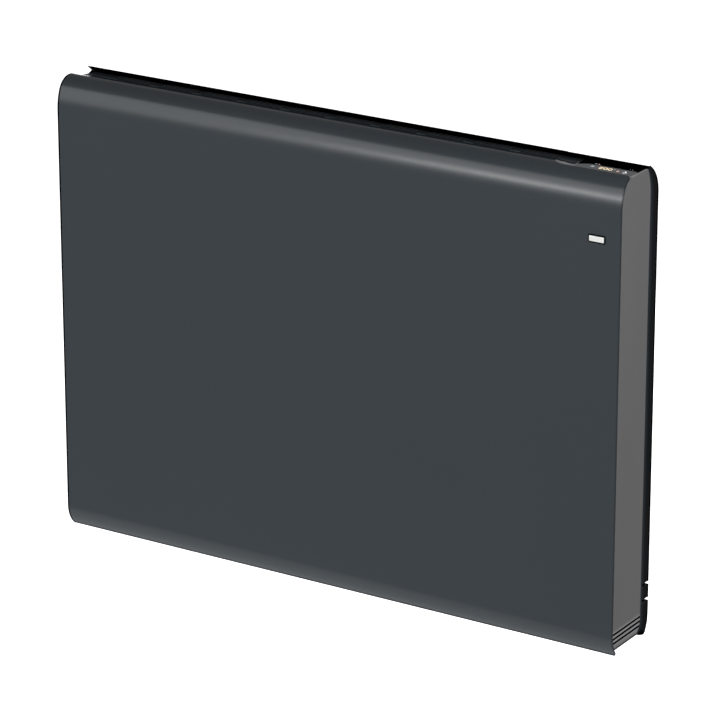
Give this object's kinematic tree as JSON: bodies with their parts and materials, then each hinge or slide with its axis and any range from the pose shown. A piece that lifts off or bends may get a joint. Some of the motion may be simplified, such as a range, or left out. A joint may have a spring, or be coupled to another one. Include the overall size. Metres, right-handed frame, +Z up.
{
  "type": "wall-hung electric convector heater",
  "caption": "Slim wall-hung electric heater with a curved sheet-steel front, end caps, a slotted warm-air outlet, a touch control in its roof and a tilting wall bracket with locking levers.",
  "frame": {"origin": "centre of the four wall screws, on the wall plane at the heater's mid-height", "axes": "+X to the viewer's right along the heater, +Y out of the back of the bracket into the wall, +Z up; the front faces -Y"},
  "size_m": [0.604, 0.0883, 0.4508],
  "materials": {
    "front_enamel": "satin anthracite powder coat",
    "rear_enamel": "matt black powder coat",
    "cap_plastic": "fine-grained mid grey",
    "grille_plastic": "matt anthracite, like the front",
    "bright_plate": "bright, bare",
    "zinc_steel": "zinc plated",
    "fascia_plastic": "satin grey",
    "control_gloss": "gloss black",
    "circuit_board": "green solder mask",
    "bare_aluminium": "bare",
    "ceramic": "unglazed ceramic",
    "white_plastic": "natural nylon",
    "black_plastic": "matt black",
    "earth_brass": "bare brass",
    "bracket_enamel": "black powder coat",
    "lever_plastic": "mid grey",
    "buffer_rubber": "soft black"
  },
  "bodies": {
    "bracket": {"wall_bracket": "bracket_enamel", "hinge_pins": "zinc_steel", "lock_studs": "zinc_steel"},
    "heater": {"front_shell": "front_enamel", "rear_shell": "rear_enamel", "left_end_cap": "cap_plastic", "right_end_cap": "cap_plastic", "outlet_grille": "grille_plastic", "inlet_grille": "rear_enamel", "badge_plate": "bright_plate", "shell_screws": "zinc_steel", "display_panel": "fascia_plastic", "control_housing": "control_gloss", "control_board": "circuit_board", "touch_contacts": "zinc_steel", "display_module": "control_gloss", "bay_partition": "zinc_steel", "heating_element": "bare_aluminium", "heating_rod": "zinc_steel", "element_bushes": "ceramic", "element_hanger_left": "zinc_steel", "element_hanger_right": "zinc_steel", "heat_shield": "bare_aluminium", "thermal_cutout": "ceramic", "cutout_bracket": "zinc_steel", "board_pillars": "white_plastic", "power_board": "circuit_board", "power_heatsink": "bare_aluminium", "power_relay": "black_plastic", "mains_choke": "black_plastic", "terminal_block": "white_plastic", "cable_gland": "black_plastic", "sensor_holder": "white_plastic", "room_sensor": "black_plastic", "earth_terminal": "earth_brass", "switch_housing": "black_plastic", "hanger_hook_left": "zinc_steel", "hanger_hook_right": "zinc_steel", "lock_keeper_left": "zinc_steel", "lock_keeper_right": "zinc_steel", "wall_buffers": "buffer_rubber"},
    "left_lock": {"lock_lever_left": "lever_plastic"},
    "right_lock": {"lock_lever_right": "lever_plastic"},
    "rocker": {"mains_rocker": "black_plastic"}
  },
  "joints": [
    {"name": "heater_tilt", "type": "hinge", "parent": "bracket", "child": "heater", "pos_m": [0, -0.011, -0.185], "axis": [1, 0, 0], "range_deg": [0, 15]},
    {"name": "left_lock_turn", "type": "hinge", "parent": "bracket", "child": "left_lock", "pos_m": [-0.1, -0.006, 0.16], "axis": [0, 1, 0], "range_deg": [0, 35]},
    {"name": "right_lock_turn", "type": "hinge", "parent": "bracket", "child": "right_lock", "pos_m": [0.1, -0.006, 0.16], "axis": [0, -1, 0], "range_deg": [0, 35]},
    {"name": "rocker_press", "type": "hinge", "parent": "heater", "child": "rocker", "pos_m": [0.25, -0.0615, -0.2162], "axis": [0, -1, 0], "range_deg": [0, 16]}
  ]
}
